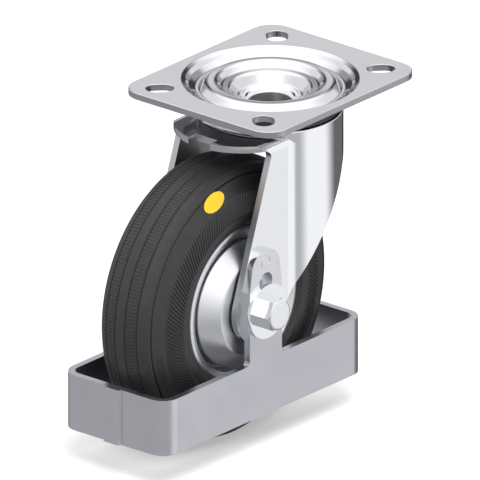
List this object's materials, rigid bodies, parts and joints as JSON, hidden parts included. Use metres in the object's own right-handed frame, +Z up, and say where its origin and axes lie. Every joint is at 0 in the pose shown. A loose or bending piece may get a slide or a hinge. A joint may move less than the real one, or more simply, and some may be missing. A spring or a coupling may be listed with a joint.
{
  "type": "swivel castor",
  "caption": "Swivel castor with a slotted top plate with rounded corners, a drawn steel fork, a rubber tyred wheel and a bent bar foot guard round the wheel.",
  "frame": {"origin": "centre of the top plate's upper face", "axes": "+Z up out of the plate's upper face, +X towards the leading side, the wheel trails towards -X, Y along the axle"},
  "size_m": [0.156, 0.085, 0.15],
  "materials": {
    "top_plate": "bright zinc plated pressed steel, mirror bright in the recess",
    "king_rivet": "bright zinc plated steel",
    "dust_ring": "black ring with a soft sheen",
    "lower_cup": "zinc plated pressed steel",
    "balls": "polished bearing steel",
    "fork": "bright zinc plated deep drawn steel",
    "foot_guard": "satin zinc plated bent bar",
    "tyre": "black elastic rubber with a dull sheen",
    "rims": "bright zinc plated pressed steel",
    "hub_tube": "plain steel tube",
    "bearing_rings": "ground bearing steel",
    "bearing_shields": "thin pressed shield",
    "fasteners": "bright zinc plated steel",
    "axle_parts": "plain steel tube and rings",
    "marker_dot": "plain yellow sticker"
  },
  "bodies": {
    "mount": {"top_plate": "top_plate", "king_rivet": "king_rivet", "dust_ring": "dust_ring", "lower_cup": "lower_cup"},
    "swivel": {"fork": "fork", "foot_guard": "foot_guard", "upper_balls": "balls", "lower_balls": "balls", "axle_bolt": "fasteners", "axle_nut": "fasteners", "washer_near": "fasteners", "washer_far": "fasteners", "axle_tube": "axle_parts", "bearing_sleeve": "axle_parts", "spacer_near": "axle_parts", "spacer_far": "axle_parts", "bearing_inner_near": "bearing_rings", "bearing_inner_far": "bearing_rings"},
    "wheel": {"tyre": "tyre", "rim_near": "rims", "rim_far": "rims", "hub_tube": "hub_tube", "bearing_outer_near": "bearing_rings", "bearing_outer_far": "bearing_rings", "bearing_balls_near": "balls", "bearing_balls_far": "balls", "bearing_shield_near": "bearing_shields", "bearing_shield_far": "bearing_shields", "marker_dot": "marker_dot"}
  },
  "joints": [
    {"name": "swivel", "type": "hinge", "parent": "mount", "child": "swivel", "pos_m": [0, 0, 0], "axis": [0, 0, 1], "continuous": true},
    {"name": "wheel_spin", "type": "hinge", "parent": "swivel", "child": "wheel", "pos_m": [-0.038, 0, -0.0875], "axis": [0, 1, 0], "continuous": true}
  ]
}
